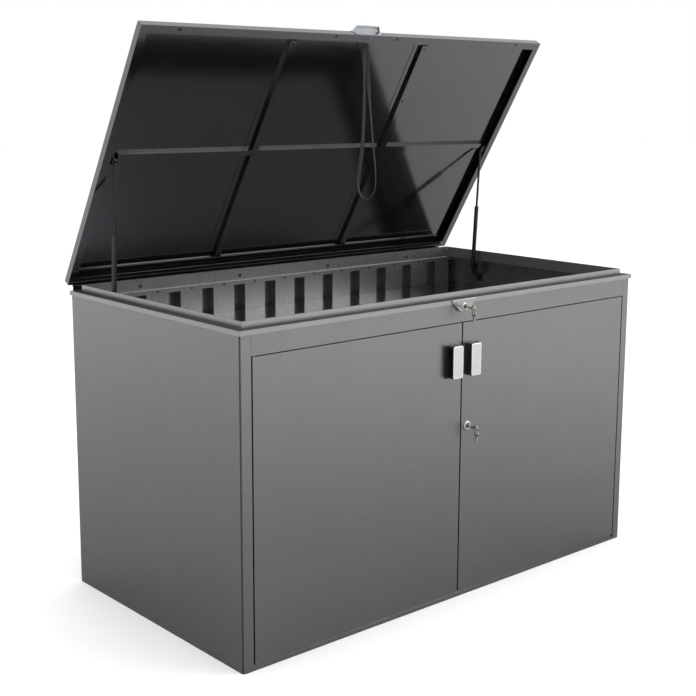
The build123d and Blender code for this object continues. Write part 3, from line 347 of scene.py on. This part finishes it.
def addPiece(name, bm, body, slot):
    mesh = bpy.data.meshes.new(name)
    bmesh.ops.recalc_face_normals(bm, faces=bm.faces)
    bm.to_mesh(mesh)
    bm.free()
    mesh.shade_smooth()
    mesh.set_sharp_from_angle(angle=creaseAngle)
    piece = bpy.data.objects.new(name, mesh)
    bpy.context.scene.collection.objects.link(piece)
    mesh.materials.append(slots[slot])
    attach(piece, body)
    return piece


# webbing strap: a hanging loop, whose route gives x and the drop from its bar in mm
strap = {"width": 15 * mm, "thick": 1.6 * mm,
         "route": ((17, 0), (26, 110), (40, 235), (51, 326), (59, 378), (62, 430), (52, 466), (24, 480),
                   (-6, 464), (-16, 430), (-6, 372), (3, 326), (9, 235), (11, 110), (7, 0)),
         "turns": ((0.0, -25), (0.08, -15), (0.22, 28), (0.5, 40),
                   (0.62, -5), (0.75, 5), (0.9, 25), (1.0, -25)),
         # the tape's section as shares of its width and thickness
         "section": ((-0.5, -0.3), (-0.46, -0.5), (0, -0.5), (0.46, -0.5), (0.5, -0.3),
                     (0.5, 0.3), (0.46, 0.5), (0, 0.5), (-0.46, 0.5), (-0.5, 0.3))}
strapLow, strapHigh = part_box("lid_strap")
strapY = (strapLow[1] + strapHigh[1]) / 2
strapTop = strapHigh[2]
curveData = bpy.data.curves.new("strapLine", "CURVE")
curveData.dimensions = "3D"
line = curveData.splines.new("NURBS")
line.points.add(len(strap["route"]) - 1)
for point, (x, drop) in zip(line.points, strap["route"]):
    point.co = (x * mm, strapY, strapTop - drop * mm, 1)
line.order_u = 3
line.use_endpoint_u = True
line.resolution_u = 10
curve = bpy.data.objects.new("strapLine", curveData)
lineMesh = bpy.data.meshes.new_from_object(curve)
strapPath = [vert.co.copy() for vert in lineMesh.vertices]
bpy.data.objects.remove(curve)
bpy.data.meshes.remove(lineMesh)


def turnAt(share, turns):
    # the tape's twist in degrees, eased between the shares of its length that turns lists
    for (s0, a0), (s1, a1) in zip(turns, turns[1:]):
        if share <= s1:
            t = (share - s0) / (s1 - s0)
            return math.radians(a0 + (a1 - a0) * t * t * (3 - 2 * t))
    return math.radians(turns[-1][1])


bm = bmesh.new()
uv = bm.loops.layers.uv.new("tape")
loops = []
lengths = [0.0]
for p, q in zip(strapPath, strapPath[1:]):
    lengths.append(lengths[-1] + (q - p).length)
for i, spot in enumerate(strapPath):
    before = strapPath[max(i - 1, 0)]
    after = strapPath[min(i + 1, len(strapPath) - 1)]
    along = (after - before).normalized()
    angle = turnAt(lengths[i] / lengths[-1], strap["turns"])
    across = Vector((math.cos(angle), math.sin(angle), 0))
    across = (across - along * across.dot(along)).normalized()
    through = along.cross(across)
    ring = []
    for w, t in strap["section"]:
        ring.append(bm.verts.new(spot + across * w * strap["width"] + through * t * strap["thick"]))
    loops.append(ring)
sides = len(strap["section"])
for i, (a, b) in enumerate(zip(loops, loops[1:])):
    start, end = lengths[i], lengths[i + 1]
    for j in range(sides):
        k = (j + 1) % sides
        face = bm.faces.new((a[j], a[k], b[k], b[j]))
        corners = ((j, start), (j + 1, start), (j + 1, end), (j, end))
        for loop, (u, v) in zip(face.loops, corners):
            loop[uv].uv = (v, u / sides * 2 * strap["width"])
bm.faces.new(loops[0])
bm.faces.new(loops[-1])
strapPiece = addPiece("webbingStrap", bm, "lid", "strap_webbing")
strapPiece.visible_glossy = False  # its mirror image is kept out of the lid
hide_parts("lid_strap")
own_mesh(strapPiece)
print("strap ready")


# handle caps: a plate with rounded corners, a polished rim and a sunk face
cap = {"corner": 6 * mm, "cornerSteps": 7, "grow": 3.8 * mm, "proud": 0.8 * mm, "rim": 1.8 * mm,
       "step": 0.5 * mm, "edge": 0.9 * mm, "edgeSteps": 3, "leastFront": 1e-3}
for side, body in (("left", "door_left"), ("right", "door_right")):
    low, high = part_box("handle_cap_" + side)
    low = [low[0] - cap["grow"], low[1] - cap["proud"], low[2] - cap["grow"]]
    high = [high[0] + cap["grow"], high[1] - cap["proud"], high[2] + cap["grow"]]
    bm = bmesh.new()
    bmesh.ops.create_grid(bm, x_segments=1, y_segments=1, size=0.5)
    for vert in bm.verts:
        vert.co = (low[0] + (vert.co.x + 0.5) * (high[0] - low[0]), high[1],
                   low[2] + (vert.co.y + 0.5) * (high[2] - low[2]))
    bmesh.ops.bevel(bm, geom=bm.verts[:], offset=cap["corner"], affect="VERTICES",
                    segments=cap["cornerSteps"], profile=0.5, material=-1)
    face = bm.faces[:][0]
    out = bmesh.ops.extrude_face_region(bm, geom=[face])
    front = [f for f in out["geom"] if isinstance(f, bmesh.types.BMFace)]
    moved = [v for v in out["geom"] if isinstance(v, bmesh.types.BMVert)]
    bmesh.ops.translate(bm, verts=moved, vec=(0, low[1] - high[1], 0))
    rimEdges = list({e for f in front for e in f.edges})
    bmesh.ops.bevel(bm, geom=rimEdges, offset=cap["edge"], affect="EDGES",
                    segments=cap["edgeSteps"], profile=0.5, material=-1)
    # the front is the foremost of the large faces
    face = min(bm.faces, key=lambda f: f.calc_center_median().y
               - (1 if f.calc_area() > cap["leastFront"] else 0))
    bmesh.ops.inset_region(bm, faces=[face], thickness=cap["rim"], depth=0)
    bmesh.ops.inset_region(bm, faces=[face], thickness=cap["step"], depth=-cap["step"])
    for f in bm.faces:
        f.material_index = 0 if f is face else 1
    piece = addPiece("capPlate_" + side, bm, body, "handle_silver")
    piece.data.materials.append(polishedBevel)
    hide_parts("handle_cap_" + side)
print("handles ready")

# lock rosettes: one turned profile, spun about the lock's axis
rosette = {"barrel": 9.3 * mm, "seat": 0.02 * mm, "sides": 64, "weld": 1e-6}


def lockBarrel(name, node, body, front, radius, bore):
    low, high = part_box(node)
    centre = ((low[0] + high[0]) / 2, (low[2] + high[2]) / 2)
    y0 = low[1]
    steps = [(bore, high[1]), (bore, y0 + 1.6 * mm),
             (bore + 0.8 * mm, y0 + 0.9 * mm), (bore + 1.6 * mm, y0 + 0.9 * mm),
             (bore + 2.4 * mm, y0 + 0.1 * mm), (radius - 3.0 * mm, y0), (radius - 1.2 * mm, y0 + 0.5 * mm),
             (radius, y0 + 1.6 * mm), (radius, front - rosette["seat"]),
             (rosette["barrel"], front - rosette["seat"]), (rosette["barrel"], high[1])]
    bm = bmesh.new()
    verts = [bm.verts.new((centre[0] + r, y, centre[1])) for r, y in steps]
    edges = [bm.edges.new(pair) for pair in zip(verts, verts[1:] + verts[:1])]
    bmesh.ops.spin(bm, geom=verts + edges, cent=(centre[0], 0, centre[1]), axis=(0, 1, 0), dvec=(0, 0, 0),
                   angle=math.tau, steps=rosette["sides"], use_merge=True)
    bmesh.ops.remove_doubles(bm, verts=bm.verts[:], dist=rosette["weld"])
    piece = addPiece(name, bm, body, "latch_chrome")
    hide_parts(node)


lockBarrel("doorRosette", "door_lock_barrel", "door_right", -425 * mm, 15 * mm, 6.55 * mm)
lockBarrel("lidRosette", "lid_lock_barrel", "cabinet", -434 * mm, 12 * mm, 6.55 * mm)

# keys: an oval bow with a hole, and a blade with cuts along one edge
keyShape = {"thick": 2.2 * mm, "bowAlong": 7 * mm, "bowAcross": 9 * mm, "hole": 2.5 * mm,
            "holeSet": 3.2 * mm, "sides": 40, "bladeHalf": 3.6 * mm, "spareHalf": 3.4 * mm,
            "bladeStart": 0.7, "bladeSteps": 16, "cutsFrom": 0.45,
            "teeth": (0.0, 1.4, 0.5, 2.0, 0.8, 1.6, 0.2, 1.1),
            "sharp": 1.2, "round": 0.25 * mm, "roundSteps": 2}


def onKey(centre, alongY, along, across, x):
    # the key in a lock points to the rear, and the spare one hangs down
    if alongY:
        return x, centre[0] + along, centre[1] + across
    return x, centre[0] + across, centre[1] - along


def keyPiece(name, node, body, alongY):
    low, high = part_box(node)
    thick = keyShape["thick"]
    bowAlong, bowAcross = keyShape["bowAlong"], keyShape["bowAcross"]
    if alongY:
        centre = (low[1] + bowAlong, (low[2] + high[2]) / 2)
        reach = high[1] - centre[0]
        half = keyShape["bladeHalf"]
    else:
        centre = ((low[1] + high[1]) / 2, high[2] - bowAlong)
        reach = centre[1] - low[2]
        half = keyShape["spareHalf"]
    bm = bmesh.new()
    outer = bmesh.ops.create_circle(bm, cap_ends=False, segments=keyShape["sides"], radius=1.0)["verts"]
    for v in outer:
        v.co = (v.co.x * bowAlong, v.co.y * bowAcross, 0)
    inner = bmesh.ops.create_circle(bm, cap_ends=False, segments=keyShape["sides"],
                                    radius=keyShape["hole"])["verts"]
    for v in inner:
        v.co = (v.co.x - keyShape["holeSet"], v.co.y, 0)
    bmesh.ops.bridge_loops(bm, edges=bm.edges[:])
    bowFaces = bm.faces[:]
    blade = bmesh.ops.create_grid(bm, x_segments=keyShape["bladeSteps"], y_segments=2, size=0.5)["verts"]
    start = bowAlong * keyShape["bladeStart"]
    for v in blade:
        u, w = v.co.x + 0.5, v.co.y
        # 15.99 keeps the last column of points in the last step
        cut = keyShape["teeth"][int(u * 15.99) % len(keyShape["teeth"])] * mm
        tooth = cut if (u > keyShape["cutsFrom"] and w < -0.4) else 0
        v.co = (start + u * (reach - start), w * 2 * half + tooth, 0)
    for faces in (bowFaces, [f for f in bm.faces if f not in bowFaces]):
        out = bmesh.ops.extrude_face_region(bm, geom=faces)
        moved = [g for g in out["geom"] if isinstance(g, bmesh.types.BMVert)]
        bmesh.ops.translate(bm, verts=moved, vec=(0, 0, thick))
    bm.normal_update()
    sharp = [e for e in bm.edges if e.is_manifold and e.calc_face_angle(0) > keyShape["sharp"]]
    bmesh.ops.bevel(bm, geom=sharp, offset=keyShape["round"], affect="EDGES",
                    segments=keyShape["roundSteps"], profile=0.5, material=-1)
    x0 = (low[0] + high[0]) / 2 - thick / 2
    for v in bm.verts:
        v.co = onKey(centre, alongY, v.co.x, v.co.y, x0 + v.co.z)
    piece = addPiece(name, bm, body, "key_nickel")
    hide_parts(node)


bodies = {node: body for body, names in frame["record"]["behaviour"]["bodies"].items() for node in names}
for name, node, alongY in (("doorKeyBlank", "door_key", True), ("doorSpareBlank", "door_key_spare", False),
                           ("lidKeyBlank", "lid_key", True), ("lidSpareBlank", "lid_key_spare", False)):
    keyPiece(name, node, bodies[node], alongY)
print("locks and keys ready")
